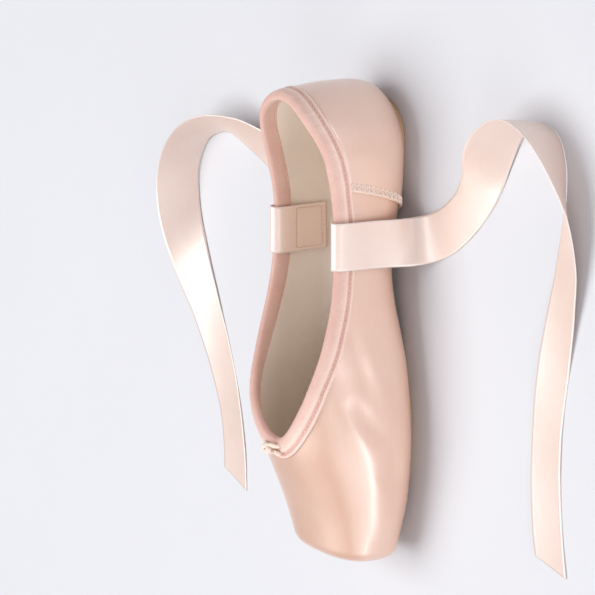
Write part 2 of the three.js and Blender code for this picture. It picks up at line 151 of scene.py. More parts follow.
RIBBON_INNER = table(
    "x y z tilt",
    (-39.5, -33.5, 14, 0), (-39.5, -36, 6, 0), (-40.5, -43, 1.2, 0), (-45, -58, 0.5, 0),
    (-53, -78, 0.5, -3), (-62, -99, 0.5, -12), (-70, -122, 0.5, -36), (-72, -147, 0.5, -66),
    (-63, -169, 0.5, -80), (-45, -182, 0.5, -76), (-22, -184, 0.5, -56), (2, -178, 0.5, -33),
    (26, -168, 0.5, -14), (50, -157, 0.5, -4), (74, -148, 0.5, 0), (97, -143, 0.5, 0),
    (117, -142, 0.5, 0),
)

# Camera: how the photograph looks at the shoe, with the heel up in the image
VIEW_ELEVATION = 30
VIEW_HEADING = 13
VIEW_DISTANCE = 1.4
VIEW_TARGET = Vector((0.0, 0.0, 0.025))
VIEW_WIDTH = 0.2767
TARGET_ASIDE = 0.0195
TARGET_BELOW = 0.0095
LENS_NEAR = 0.05

# Soft creases of the satin: the rise of each ridge, or a trough below zero, its half width
# and its path as (station, aside, height). Each fades out over a share of its path at both ends,
# and is left out further away than some half widths.
CREASE_STEPS = 8
CREASE_FADE = 0.3
CREASE_REACH = 3
CREASES = (
    (1.3, 6.5, ((144, 32, 48), (156, 36.5, 39), (168, 39.3, 31), (184, 38, 26.5), (201, 34.8, 22.5),
                (213, 32.3, 17.5), (223, 29.5, 12.5))),
    (-0.7, 5, ((138, 35, 40), (152, 38, 33), (163, 40, 24))),
    (-0.6, 4, ((104, 27, 41), (122, 32, 35), (146, 38, 30))),
    (0.5, 4, ((112, 31, 34), (132, 36, 27), (150, 39, 20))),
    (-0.5, 5, ((172, 39.5, 14), (178, 39, 22), (182, 38, 27))),
    (0.8, 5.5, ((150, -33, 47), (166, -37, 38), (186, -36.5, 32), (206, -33, 27))),
    (-0.6, 5, ((134, -34, 42), (148, -37, 35), (158, -39, 25))),
    (-0.5, 4, ((98, -27, 40), (118, -32, 34), (138, -37, 28))),
    (0.5, 4, ((116, -32, 32), (136, -37, 25), (152, -39, 18))),
)


def station_of(x):
    return x + (LENGTH - COVER_OUT) / 2


def x_of(station):
    return station - (LENGTH - COVER_OUT) / 2


def smooth(x, low, high):
    u = np.clip((x - low) / (high - low), 0, 1)
    return u * u * (3 - 2 * u)


def blend(a, b, share):
    return a + (b - a) * share


def xyz(x, y, z):
    """Vectors from their three parts, spread to one shape."""
    return np.stack(np.broadcast_arrays(x, y, z), -1)


def unit(v):
    return v / np.maximum(np.linalg.norm(v, axis=-1, keepdims=True), 1e-9)


def square_to(axis, v):
    """The direction of a vector without its part along an axis."""
    return unit(v - axis * (v * axis).sum(-1, keepdims=True))


def column(rows, name, station):
    """A smooth curve through one column of a table."""
    at, values = rows["station"], rows[name]
    s = np.clip(station, at[0], at[-1])
    k = np.clip(np.searchsorted(at, s) - 1, 0, len(at) - 2)
    before = np.maximum(np.arange(len(at)) - 1, 0)
    after = np.minimum(np.arange(len(at)) + 1, len(at) - 1)
    slope = (values[after] - values[before]) / (at[after] - at[before])
    span = at[k + 1] - at[k]
    u = (s - at[k]) / span
    rise = values[k + 1] - values[k]
    bend = (slope[k] * span - rise) * (1 - u) - (slope[k + 1] * span - rise) * u
    return values[k] + u * rise + u * (1 - u) * bend


def catmull(knots, steps):
    """Points of a smooth curve through knots, a number of steps to each stretch."""
    knots = np.asarray(knots, float)
    padded = np.vstack([2 * knots[0] - knots[1], knots, 2 * knots[-1] - knots[-2]])
    u = (np.arange(steps) / steps)[:, None]
    run = []
    for a, b, c, d in zip(padded, padded[1:], padded[2:], padded[3:]):
        m, n = (c - a) / 2, (d - b) / 2
        run.append(b + u * m + u**2 * (3 * (c - b) - 2 * m - n) + u**3 * (2 * (b - c) + m + n))
    return np.vstack([*run, knots[-1:]])


def ripples(waves, phase):
    """The sum of some sine waves, each with its rise, rate and start."""
    return sum(rise * np.sin(rate * phase + start) for rise, rate, start in zip(*waves.values()))


def lengths_along(line):
    """The length gone at each point of a line."""
    return np.hstack([0, np.cumsum(np.linalg.norm(np.diff(line, axis=0), axis=1))])


def sampled(at, gone, vectors):
    """Vectors at some lengths, from vectors at the lengths gone."""
    return np.stack([np.interp(at, gone, vectors[:, axis]) for axis in range(3)], -1)


def resampled(path, step):
    """A path with its points an even step apart."""
    gone = lengths_along(path)
    at = np.linspace(0, gone[-1], max(2, int(round(gone[-1] / step)) + 1))
    return sampled(at, gone, path)


def lift(station):
    """How far the arch and the toe spring lift the underside off the floor."""
    arch = smooth(station, ARCH_FROM, ARCH_TOP) * (1 - smooth(station, ARCH_TOP, ARCH_TO))
    toe = np.clip((station - TOE_SPRING_FROM) / (LENGTH - TOE_SPRING_FROM), 0, 1)
    return ARCH_RISE * arch + TOE_SPRING * toe**2


def wall_at(station):
    """Thickness of the upper's wall, which grows toward the toe box."""
    return blend(WALL_QUARTER, WALL_BOX, smooth(station, *BOX_GROWS))


def form_value(p):
    """Below zero inside the upper's outer form, zero on it and above zero outside."""
    station = station_of(p[..., 0])
    past = (station - LENGTH) / PLATFORM_ROUND
    into = np.clip(station - (LENGTH - PLATFORM_ROUND), 0, PLATFORM_ROUND)
    inset = PLATFORM_ROUND - np.sqrt(PLATFORM_ROUND**2 - into**2)
    half = column(SECTIONS, "half", station) - inset
    wide = column(SECTIONS, "wide", station)
    up = p[..., 2] - lift(station) - SOLE_THICK - SEAT - wide
    below = up < 0
    reach = np.where(below, wide, column(SECTIONS, "crown", station) - wide)
    square = np.where(below, column(SECTIONS, "low", station), column(SECTIONS, "top", station))
    plan = np.hypot(p[..., 1] / half, np.maximum(0, 1 - station / HEEL_ROUND))
    section = plan**square + np.abs(up / (reach - inset)) ** square - 1
    return np.where(past > 0, past, np.maximum(section, past))


def outward(p):
    """The outward direction of the form at points on it."""
    step = SLOPE_STEP * np.eye(3)
    return unit(np.stack([form_value(p + d) - form_value(p - d) for d in step], -1))


def sole_value(x, y, inset=0.0):
    """Below zero inside the outsole's outline drawn in by an inset."""
    station = station_of(x)
    half = column(SOLE_WIDTHS, "half", station) - inset
    back = (SOLE_BACK + SOLE_BACK_ROUND - station) / (SOLE_BACK_ROUND - inset)
    front = (station - SOLE_FRONT + SOLE_FRONT_ROUND) / (SOLE_FRONT_ROUND - inset)
    return np.hypot(y / half, np.maximum(0, np.maximum(back, front))) - 1


def crossing(value, shape):
    """Distances along rays at which a value that grows passes zero."""
    near, far = np.zeros(shape), np.full(shape, RAY_REACH)
    for _ in range(HALVINGS):
        middle = (near + far) / 2
        inside = value(middle) < 0
        near = np.where(inside, middle, near)
        far = np.where(inside, far, middle)
    return far


def place_of(station):
    return HEEL_PLACE + (station - HEEL_ROUND) / (TOE_PIVOT - HEEL_ROUND)


def half_places(heel, side, toe):
    """Places of one half, from the heel back to the toe."""
    fan = np.linspace(0, HEEL_PLACE, heel, endpoint=False)
    run = np.linspace(HEEL_PLACE, SIDE_PLACE, side, endpoint=False)
    return np.hstack([fan, run, np.linspace(SIDE_PLACE, TOE_PLACE, toe)])


def ring_places(heel, side, toe):
    """Places from the heel back along one half to the toe and home along the other."""
    half = half_places(heel, side, toe)
    return np.hstack([half, -half[-2:0:-1]])


def rib_frames(places):
    """Pivot and azimuth of each upright rib: a fan round the heel, the side, a fan round the toe."""
    station = blend(HEEL_ROUND, TOE_PIVOT, np.clip(places - HEEL_PLACE, 0, 1))
    turn = np.clip(TOE_PLACE - places, 0, 1) * np.pi / 2
    ahead = (LENGTH - TOE_PIVOT) * np.cos(turn) ** (2 / TOE_FAN_SQUARE)
    aside = column(SECTIONS, "half", TOE_PIVOT) * np.sin(turn) ** (2 / TOE_FAN_SQUARE)
    azimuth = np.where(places < HEEL_PLACE, np.pi - places * np.pi / 2, np.arctan2(aside, ahead))
    pivot = xyz(x_of(station), 0, SPINE_HEIGHT + lift(station))
    return pivot, azimuth


def first_over(values, lengths):
    """The length along each rib at which a value first passes zero."""
    k = np.maximum(np.argmax(values > 0, axis=1), 1)
    row = np.arange(len(values))
    low, high = values[row, k - 1], values[row, k]
    return blend(lengths[row, k - 1], lengths[row, k], -low / (high - low))


def rib_table():
    """Fine ribs of the form by depth below the topline, with the depths of the lower edges."""
    places = half_places(*RIB_COUNTS)
    pivot, azimuth = rib_frames(places)
    ahead = xyz(np.cos(azimuth), np.sin(azimuth), 0)
    angle = np.radians(np.linspace(*RIB_ANGLES))
    rays = ahead[:, None] * np.cos(angle)[:, None]
    rays[..., 2] = np.sin(angle)
    reach = crossing(lambda t: form_value(pivot[:, None] + rays * t[..., None]), rays.shape[:2])
    points = pivot[:, None] + rays * reach[..., None]
    lengths = np.stack([lengths_along(rib) for rib in points])
    plan = reach * np.cos(angle)

    def sole_cut(inset):
        def value(r):
            return sole_value(pivot[:, 0] + r * ahead[:, 0], r * ahead[:, 1], inset)
        return first_over(plan - crossing(value, len(places))[:, None], lengths)

    x, z = x_of(TOE_PIVOT), column(TOPLINE, "height", TOE_PIVOT)
    throat_half = crossing(lambda y: form_value(xyz(x, y, z)), ())
    ahead_share = np.abs(plan * np.cos(azimuth)[:, None] / THROAT_DEPTH) ** THROAT_SIDE_POWER
    aside_share = np.abs(plan * np.sin(azimuth)[:, None] / throat_half) ** THROAT_TIP_POWER
    over_side = points[..., 2] - column(TOPLINE, "height", station_of(points[..., 0]))
    over_toe = np.where(angle > 0, 1 - ahead_share - aside_share, -1.0)
    top = first_over(np.where((places <= SIDE_PLACE)[:, None], over_side, over_toe), lengths)
    by_depth = np.stack([sampled(t - DEPTHS, gone, rib) for t, gone, rib in zip(top, lengths, points)])
    edges = {"feather": top - sole_cut(LASTING_MARGIN), "sole_edge": top - sole_cut(-2 * SEAT)}
    return places, by_depth, edges


PLACES, RIBS, EDGES = rib_table()


def edge_depth(name, place):
    """Depth below the topline of a lower edge."""
    return np.interp(np.abs(place), PLACES, EDGES[name])


def bare_skin(place, depth):
    """Points of the smooth form by place and depth."""
    place, depth = np.broadcast_arrays(place, depth)
    row = np.interp(np.abs(place), PLACES, np.arange(len(PLACES)))
    col = np.clip((depth - DEPTH_FROM) / DEPTH_STEP, 0, len(DEPTHS) - 1.001)
    i = np.minimum(row.astype(int), len(PLACES) - 2)
    k = col.astype(int)
    u, v = (row - i)[..., None], (col - k)[..., None]
    near = blend(RIBS[i, k], RIBS[i, k + 1], v)
    far = blend(RIBS[i + 1, k], RIBS[i + 1, k + 1], v)
    points = blend(near, far, u)
    points[..., 1] *= np.where(place < 0, -1, 1)
    return points


def relief(points):
    """How far the creases lift or sink the satin at points of the form."""
    flat = points.reshape(-1, 3)
    total = np.zeros(len(flat))
    for rise, width, knots in CREASES:
        path = catmull(knots, CREASE_STEPS)
        path[:, 0] = x_of(path[:, 0])
        margin = CREASE_REACH * width
        near = np.all((flat > path.min(0) - margin) & (flat < path.max(0) + margin), axis=1)
        start, leg = path[:-1], np.diff(path, axis=0)
        away = flat[near][:, None] - start
        share = np.clip((away * leg).sum(-1) / (leg * leg).sum(-1), 0, 1)
        apart = np.linalg.norm(away - share[..., None] * leg, axis=-1)
        nearest = apart.argmin(axis=1)
        row = np.arange(len(apart))
        along = (nearest + share[row, nearest]) / len(leg)
        taper = smooth(along, 0, CREASE_FADE) * (1 - smooth(along, 1 - CREASE_FADE, 1))
        total[near] += rise * taper * np.exp(-((apart[row, nearest] / width) ** 2))
    return total.reshape(points.shape[:-1])


def skin(place, depth, offset=0.0):
    """Points a depth below the topline, lifted by the creases and pushed outward by an offset."""
    points = bare_skin(place, depth)
    return points + outward(points) * (relief(points) + offset)[..., None]


def inner_skin(place, depth, offset=0.0):
    """Points on the inner face of the wall, pushed further in by an offset."""
    points = bare_skin(place, depth)
    wall = wall_at(station_of(points[..., 0]))
    return points - outward(points) * (wall + offset)[..., None]


# Meshes


def grid_faces(rows, cols, ring):
    """Quads of a grid whose columns close on themselves, and its rows too if they make a ring."""
    index = np.arange(rows * cols).reshape(rows, cols)
    index = np.hstack([index, index[:, :1]])
    if ring:
        index = np.vstack([index, index[:1]])
    quads = np.stack([index[:-1, :-1], index[:-1, 1:], index[1:, 1:], index[1:, :-1]], -1)
    return quads.reshape(-1, 4).tolist()


def cap_faces(rows, cols):
    """Quads that close both ends of a loft, between the halves of its first and last sections."""
    return [[base + k, base + k + 1, base + cols - 2 - k, base + cols - 1 - k]
            for base in (0, (rows - 1) * cols) for k in range(cols // 2 - 1)]


def add_object(name, data):
    made = bpy.data.objects.new(name, data)
    bpy.context.scene.collection.objects.link(made)
    return made


def add_mesh(name, points, faces, material):
    """A smooth mesh from points in metres."""
    mesh = bpy.data.meshes.new(name)
    mesh.from_pydata(points.reshape(-1, 3).tolist(), [], faces)
    mesh.polygons.foreach_set("use_smooth", np.ones(len(mesh.polygons), bool))
    mesh.materials.append(material)
    return add_object(name, mesh)


def add_piece(name, points, faces, material, slot, nodes=(), **attributes):
    """A mesh that rides with the shoe, from points in millimetres, with values by vertex."""
    piece = add_mesh(name, points * MM, faces, material)
    mesh = piece.data
    for key, values in attributes.items():
        values = np.asarray(values, np.float32)
        vector = values.ndim > 1 and values.shape[-1] == 3
        if not vector:
            values = np.broadcast_to(values, points.shape[:-1])
        made = mesh.attributes.new(key, "FLOAT_VECTOR" if vector else "FLOAT", "POINT")
        made.data.foreach_set("vector" if vector else "value", values.ravel())
    work = bmesh.new()
    work.from_mesh(mesh)
    bmesh.ops.recalc_face_normals(work, faces=work.faces)
    work.to_mesh(mesh)
    work.free()
    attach(piece, "root")
    if nodes:
        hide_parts(*nodes)
    return piece


def add_loft(name, sections, ring, material, slot, nodes=(), **attributes):
    """A closed piece through sections that each close on themselves."""
    rows, cols = sections.shape[:2]
    faces = grid_faces(rows, cols, ring)
    if not ring:
        faces += cap_faces(rows, cols)
    return add_piece(name, sections, faces, material, slot, nodes, **attributes)


def sweep(paths, normals, radii, sides):
    """Round threads along several paths, closed at their ends. Gives points and faces."""
    along = unit(np.gradient(paths, axis=1))
    aside = unit(np.cross(along, normals))
    up = np.cross(aside, along)
    turn = np.arange(sides) * 2 * np.pi / sides
    circle = aside[..., None, :] * np.cos(turn)[:, None] + up[..., None, :] * np.sin(turn)[:, None]
    points = paths[..., None, :] + circle * np.asarray(radii)[..., None, None]
    count, rows = paths.shape[:2]
    one = np.array(grid_faces(rows, sides, False))
    faces = (one[None] + np.arange(count)[:, None, None] * rows * sides).reshape(-1, 4).tolist()
    for base in range(0, count * rows * sides, rows * sides):
        faces.append(list(range(base, base + sides)))
        faces.append(list(range(base + (rows - 1) * sides, base + rows * sides)))
    return points.reshape(-1, 3), faces


def add_threads(name, parts, material, slot, nodes=(), *, tone):
    """Several lots of points and faces as one piece of an even tone."""
    points = np.vstack([some for some, _ in parts])
    faces, base = [], 0
    for some, quads in parts:
        faces += [[base + k for k in face] for face in quads]
        base += len(some)
    add_piece(name, points, faces, material, slot, nodes, cloth=points * MM, tone=tone)


# Materials


def linear(code):
    """A colour written as red, green and blue in hexadecimal, as the shader takes it."""
    parts = [int(code[i:i + 2], 16) / 255 for i in (1, 3, 5)]
    return tuple(c / 12.92 if c <= 0.04045 else ((c + 0.055) / 1.055) ** 2.4 for c in parts) + (1.0,)


# Scale at which a wave texture repeats once a unit
ONE_WAVE = 0.31416

# Satin's threads and how far each floats before it is bound down, in millimetres
SATIN_THREAD = 0.3
SATIN_FLOAT = 1.9

# Sum of a cotton's tones at which it is darkest
COTTON_DARK = 0.62


class Shader:
    """A material's nodes, made by short calls."""

    def __init__(self, name, **fixed):
        self.material = bpy.data.materials.new(name)
        self.material.use_nodes = True
        self.tree = self.material.node_tree
        self.surface = self.tree.nodes["Principled BSDF"]
        self.put(self.surface, fixed)

    def put(self, node, values):
        """Sets inputs by name: a socket is linked, and a colour code or anything else is a value."""
        for key, value in values.items():
            socket = node.inputs[key.replace("_", " ")] if isinstance(key, str) else node.inputs[key]
            if isinstance(value, bpy.types.NodeSocket):
                self.tree.links.new(value, socket)
            else:
                socket.default_value = linear(value) if isinstance(value, str) else value

    def node(self, kind, inputs=None, out=0, **settings):
        made = self.tree.nodes.new("ShaderNode" + kind)
        for key, value in settings.items():
            setattr(made, key, value)
        self.put(made, inputs or {})
        return made.outputs[out]

    def attribute(self, name, out="Vector"):
        return self.node("Attribute", attribute_name=name, out=out)

    def place(self):
        return self.node("TexCoord", out="Object")

    def scaled(self, vector, sizes):
        """A vector divided by feature sizes in millimetres."""
        return self.node("Mapping", {"Vector": vector, "Scale": [1 / (size * MM) for size in sizes]})

    def noise(self, vector, sizes, detail=3, rough=0.5):
        inputs = {"Vector": self.scaled(vector, sizes), "Scale": 1, "Detail": detail, "Roughness": rough}
        return self.node("TexNoise", inputs)

    def wave(self, vector, pitch, direction, distortion=0):
        at = self.scaled(vector, (pitch, pitch, 1))
        inputs = {"Vector": at, "Scale": ONE_WAVE, "Distortion": distortion}
        return self.node("TexWave", inputs, out="Fac", bands_direction=direction, wave_profile="SIN")

    def math(self, operation, a, b):
        return self.node("Math", {0: a, 1: b}, operation=operation)

    def total(self, *terms):
        """The sum of some values, each with its weight."""
        made = 0
        for value, weight in terms:
            made = self.math("ADD", made, self.math("MULTIPLY", value, weight))
        return made

    def span(self, value, low, high, start=0, stop=1):
        """A value carried from one range to another."""
        inputs = {"Value": value, "From Min": start, "From Max": stop, "To Min": low, "To Max": high}
        return self.node("MapRange", inputs)

    def mix(self, share, a, b):
        return self.node("Mix", {0: share, 6: a, 7: b}, out=2, data_type="RGBA")

    def bump(self, height, strength, rise, normal=None):
        inputs = {"Height": height, "Strength": strength, "Distance": rise * MM}
        if normal is not None:
            inputs["Normal"] = normal
        return self.node("Bump", inputs)


def satin(name, light, dark, rim, gloss, polish):
    """Glossy satin: long floating threads bound down in places, streaks along them and a paler edge."""
    s = Shader(
        name, Specular_IOR_Level=1, IOR=1.95, Anisotropic=0.45, Sheen_Weight=0.1, Sheen_Roughness=0.4,
        Sheen_Tint="#fff0e8", Coat_Weight=polish, Coat_IOR=2, Coat_Roughness=0.3,
    )
    cloth = s.attribute("cloth")
    streak = s.noise(cloth, (14, 0.5, 1), detail=4, rough=0.6)
    cloud = s.noise(s.place(), (26, 26, 26), detail=2)
    slack = s.noise(cloth, (16, 9, 9), detail=2)
    thread = s.wave(cloth, SATIN_THREAD, "Y")
    bound = s.node("TexBrick", {
        "Vector": s.scaled(cloth, (1, SATIN_THREAD, 1)), "Scale": 1, "Mortar Size": 0.1,
        "Mortar Smooth": 1, "Brick Width": SATIN_FLOAT, "Row Height": 1,
    }, out="Fac", offset=0.4)
    tone = s.total((streak, 0.45), (cloud, 0.55))
    field = s.mix(s.span(tone, 0, 1, 0.3, 0.7), dark, light)
    streaked = s.bump(streak, 0.2, 0.05, s.bump(slack, 0.2, 0.6))
    s.put(s.surface, {
        "Base Color": s.mix(s.attribute("edge", "Fac"), field, rim),
        "Roughness": s.span(streak, gloss - 0.05, gloss + 0.06, 0.25, 0.75),
        "Normal": s.bump(s.math("SUBTRACT", thread, bound), 0.16, 0.03, streaked),
        "Tangent": s.attribute("thread"),
    })
    return s.material


def cotton(name, light, dark, pitch, rough=0.85, crinkle=0):
    """Plain matt cotton with its over and under weave, lighter or darker by the piece's tone attribute, which
    on the binding is painted shade and painted highlight.
    """
    s = Shader(name, Specular_IOR_Level=0.25, Sheen_Weight=0.2, Sheen_Roughness=0.5)
    cloth = s.attribute("cloth")
    weave = s.math("MULTIPLY", s.wave(cloth, pitch, "X", 0.4), s.wave(cloth, pitch, "Y", 0.4))
    fuzz = s.noise(s.place(), (1.1, 1.1, 1.1), detail=5, rough=0.65)
    cloud = s.noise(s.place(), (14, 14, 14), detail=2)
    drawn = s.noise(cloth, (1.1, 6, 1))
    tone = s.total((s.attribute("tone", "Fac"), 1), (fuzz, 0.5), (cloud, 0.5), (weave, 0.3))
    s.put(s.surface, {
        "Base Color": s.mix(s.span(tone, 0, 1, COTTON_DARK, COTTON_DARK + 1), dark, light),
        "Roughness": s.span(fuzz, rough - 0.08, rough + 0.08),
        "Normal": s.bump(weave, 0.5, 0.12, s.bump(fuzz, 0.3, 0.12, s.bump(drawn, crinkle, 0.5))),
    })
    return s.material


def leather(name, light, dark):
    """Buffed sole leather: fine grain, cloudy colour, a burnished edge and scuffs on the underside."""
    s = Shader(name, Specular_IOR_Level=0.3, Coat_Weight=0.04, Coat_Roughness=0.5)
    at = s.place()
    grain = s.noise(at, (0.5, 0.5, 0.5), detail=5, rough=0.6)
    cells = s.node("TexVoronoi", {"Vector": s.scaled(at, (0.9, 0.7, 0.9)), "Scale": 1}, out="Distance")
    cloud = s.noise(at, (18, 12, 18), detail=4)
    scuff = s.noise(at, (22, 1.2, 9), rough=0.7)
    tone = s.total((cloud, 0.6), (grain, 0.4))
    hide = s.mix(s.span(tone, 0, 1, 0.3, 0.7), dark, light)
    facing = s.node("SeparateXYZ", {"Vector": s.node("NewGeometry", out="Normal")}, out="Z")
    under = s.span(facing, 1, 0, -0.95, -0.6)
    scuffed = s.math("MULTIPLY", s.span(scuff, 0, 0.5, 0.56, 0.7), under)
    s.put(s.surface, {
        "Base Color": s.mix(scuffed, s.mix(under, dark, hide), "#e6cfb4"),
        "Roughness": s.span(scuff, 0.62, 0.85, 0.3, 0.7),
        "Normal": s.bump(cells, 0.35, 0.12, s.bump(grain, 0.4, 0.12)),
    })
    return s.material


def plaster(name, light, dark):
    """The studio's painted floor."""
    s = Shader(name, Specular_IOR_Level=0.2)
    tooth = s.noise(s.place(), (1.2, 1.2, 1.2))
    s.put(s.surface, {
        "Base Color": s.mix(s.noise(s.place(), (160, 160, 160)), dark, light),
        "Roughness": s.span(tooth, 0.5, 0.65),
        "Normal": s.bump(tooth, 0.05, 0.1),
    })
    return s.material


SHOE_SATIN = satin("shoe_satin", "#e8b89b", "#dda688", "#f2ccb4", 0.42, 1)
HEEL_SATIN = satin("heel_satin", "#eabea3", "#e0ab8f", "#f5cbb0", 0.42, 1)
RIBBON_SATIN = satin("ribbon_satin", "#f1d8cb", "#ebcdbe", "#f6e3d9", 0.42, 0.3)
BINDING_TAPE = cotton("binding_tape", "#f6dacd", "#dba99b", 0.55, crinkle=0.45)
THREAD_WHITE = cotton("zigzag_thread", "#fff4ea", "#f3d9c9", 0.3, 0.6)
THREAD_PEACH = cotton("seam_thread", "#f8ddd0", "#e9bcab", 0.3, 0.6)
CORD_COTTON = cotton("drawstring_cotton", "#fbe9dc", "#ecd0bf", 0.5)
LINING_COTTON = cotton("lining_cotton", "#fbf3ea", "#eee0d2", 0.8)
INSOLE_COTTON = cotton("insole_cotton", "#ead9c5", "#d5bfa6", 0.7)
SOLE_LEATHER = leather("sole_leather", "#d3b596", "#c19d7b")


CLOTH_RADIUS = 32


def lengthwise(points):
    """Thread direction and cloth coordinates of satin laid from heel to toe, drawn in over the platform."""
    middle = points - [0, 0, SPINE_HEIGHT]
    aside = middle * [0, 1, 1]
    away = np.linalg.norm(aside, axis=-1)
    facing = outward(points)
    run = square_to(facing, [1, 0, 0] - unit(aside))
    turn = np.arctan2(points[..., 1], middle[..., 2])
    return run, xyz(points[..., 0] - away, CLOTH_RADIUS * turn, 0) * MM


def grid_cloth(sections):
    """Thread direction along the rows of a loft, and cloth coordinates along and across it."""
    run = unit(np.gradient(sections, axis=0))
    rows = np.diff(sections, axis=0, prepend=sections[:1])
    columns = np.diff(sections, axis=1, prepend=sections[:, :1])
    along = np.cumsum(np.linalg.norm(rows, axis=-1), axis=0)
    across = np.cumsum(np.linalg.norm(columns, axis=-1), axis=1)
    return run, xyz(along, across, 0) * MM


# Upper

PLEAT_CENTRE = 176
PLEAT_TURN = math.radians(9.0)
PLEAT_RISE = 1.5
PUCKER_RISE = 0.25
PLEAT_LENGTH = 23
PUCKER_LENGTH = 7
PLEAT_LEAN = 0.72
PLEAT_SWELL = 1.4
PLEAT_SWAY = 0.25
PLEAT_SWAY_RATE = 5.3
PLEAT_START = (-0.5, 2)
PLEAT_FADE = (0.15, 1)
ROUND_TOE = (0.9, 1.7)
UPPER_RIBS = (90, 110, 200)
UPPER_ROWS = 84
UPPER_INNER_ROWS = 24
UPPER_RIM = 0.2
LINING_RIBS = (44, 60, 90)
LINING_ROWS = 46
LINING_RIM = 0.6
LINING_THICK = 0.5
LINING_GAP = 0.35


def pleats(place, depth):
    """Folds of the satin drawn under the sole, deep round the toe and faint along the sides."""
    points = bare_skin(place, depth)
    beyond = edge_depth("sole_edge", place) - depth
    turn = np.arctan2(np.abs(points[..., 1]), points[..., 0] - x_of(PLEAT_CENTRE))
    phase = turn / PLEAT_TURN + PLEAT_SWAY * np.sin(PLEAT_SWAY_RATE * turn)
    share = phase - np.floor(phase)
    fold = np.where(share < PLEAT_LEAN, (share / PLEAT_LEAN) ** PLEAT_SWELL, (1 - share) / (1 - PLEAT_LEAN))
    side = smooth(turn, *ROUND_TOE)
    rise = blend(PLEAT_RISE, PUCKER_RISE, side)
    reach = blend(PLEAT_LENGTH, PUCKER_LENGTH, side)
    return rise * fold * smooth(beyond, *PLEAT_START) * (1 - smooth(beyond / reach, *PLEAT_FADE))


def make_upper():
    place = ring_places(*UPPER_RIBS)[:, None]
    feather = edge_depth("feather", place)
    outer_depth = blend(feather, UPPER_RIM, np.linspace(0, 1, UPPER_ROWS))
    inner_depth = blend(UPPER_RIM, feather, np.linspace(0, 1, UPPER_INNER_ROWS))
    outside = skin(place, outer_depth, pleats(place, outer_depth))
    inside = inner_skin(place, inner_depth, -LINING_THICK - LINING_GAP)
    sections = np.hstack([outside, inside])
    thread, cloth = lengthwise(sections)
    add_loft("satin_upper", sections, True, SHOE_SATIN, "satin", ["upper"], thread=thread, cloth=cloth)


def make_lining():
    place = ring_places(*LINING_RIBS)[:, None]
    feather = edge_depth("feather", place) - LINING_RIM
    depth = blend(feather, LINING_RIM, np.linspace(0, 1, LINING_ROWS))
    outside = inner_skin(place, depth, -LINING_THICK)
    inside = inner_skin(place, depth[:, ::-1])
    sections = np.hstack([outside, inside])
    cloth = lengthwise(sections)[1]
    add_loft("cotton_lining", sections, True, LINING_COTTON, "insole_cotton", cloth=cloth, tone=0.5)


# Heel piece

FOLD_EDGE = table(
    "back off",
    (1.2, 0.22), (0.5, 0.3), (0.08, 0.6), (0, 0.95), (0.15, 1.28), (0.6, 1.45), (1.2, 1.42),
    (1.8, 1.2), (2.4, 1.04), (3.2, 1), (4.2, 1),
)
FOLD_NOSE = 3
FOLD_PALE = (1.2, 2)
COVER_COLUMNS = 88
COVER_ROWS = 64
COVER_UNDER = 0.12
COVER_TUCK = 7.1
COVER_TUCK_FROM = 0.955


def seam_station(rise):
    return blend(SEAM_FOOT_STATION, SEAM_TOP_STATION, rise) - SEAM_BOW * np.sin(np.pi * rise)


def cover_depth(place, rise):
    """Depth of a row of the heel piece, from the outsole's edge up to under the binding."""
    return blend(edge_depth("sole_edge", place), COVER_TUCK, rise)


def tucked(rise, off):
    """The heel piece thins where it goes under the binding."""
    return blend(off, min(off, SEAT), smooth(rise, COVER_TUCK_FROM, 1.0))


def cover_half(rise):
    """Both faces of half the heel piece, from its folded front edge to the heel back."""
    fold = list(zip(FOLD_EDGE["back"], FOLD_EDGE["off"]))
    faces = []
    for steps, off in ((fold[FOLD_NOSE:], COVER_OUT), (fold[:FOLD_NOSE][::-1], COVER_UNDER)):
        shares = np.linspace(1, 0, COVER_COLUMNS - len(steps) + 1)[1:]
        round_heel = [(steps[-1][0], off, share) for share in shares]
        columns = []
        for back, out, share in [(*step, 1) for step in steps] + round_heel:
            place = place_of(seam_station(rise) - back) * share
            columns.append(skin(place, cover_depth(place, rise), tucked(rise, out)))
        faces.append(np.stack(columns, 1))
    return faces


def make_heel_cover():
    outside, inside = cover_half(np.linspace(0, 1, COVER_ROWS))
    other = [1, -1, 1]
    halves = [outside, outside[:, -2::-1] * other, inside * other, inside[:, -2::-1]]
    sections = np.hstack(halves)
    back = FOLD_EDGE["back"][FOLD_NOSE:]
    front = np.zeros(COVER_COLUMNS)
    front[:len(back)] = 1 - smooth(back, *FOLD_PALE)
    edge = np.hstack([front, front[-2::-1], front, front[-2::-1]])
    thread, cloth = grid_cloth(np.swapaxes(sections, 0, 1))
    add_loft("heel_cover_satin", sections, False, HEEL_SATIN, "heel_satin", ["heel_cover"],
             thread=np.swapaxes(thread, 0, 1), cloth=np.swapaxes(cloth, 0, 1), edge=edge)


SEAM_SAMPLES = 200
ZIGZAG_PITCH = 2.7
ZIGZAG_SPAN = (0.9, 4.1)
ZIGZAG_LIMITS = (0.6, 4.2)
ZIGZAG_LINE = 2
ZIGZAG_RISE = (0.03, 0.965)
ZIGZAG_LOOP = 0.24
ZIGZAG_OFF = 0.17
ZIGZAG_LIFT = 0.1
ZIGZAG_STEPS = 30
ZIGZAG_SIDES = 7
ZIGZAG_THREAD = 0.25
ZIGZAG_UNEVEN = table("rise rate start", (0.05, 0.37, 0.0), (0.04, 0.61, 1.0))


def seam_point(rise, back, off):
    """A point on the heel piece near its front edge, and the direction it faces."""
    place = place_of(seam_station(rise) - back)
    depth = cover_depth(place, rise)
    face = np.interp(back, FOLD_EDGE["back"][FOLD_NOSE:], FOLD_EDGE["off"][FOLD_NOSE:])
    return skin(place, depth, face + off), outward(bare_skin(place, depth))


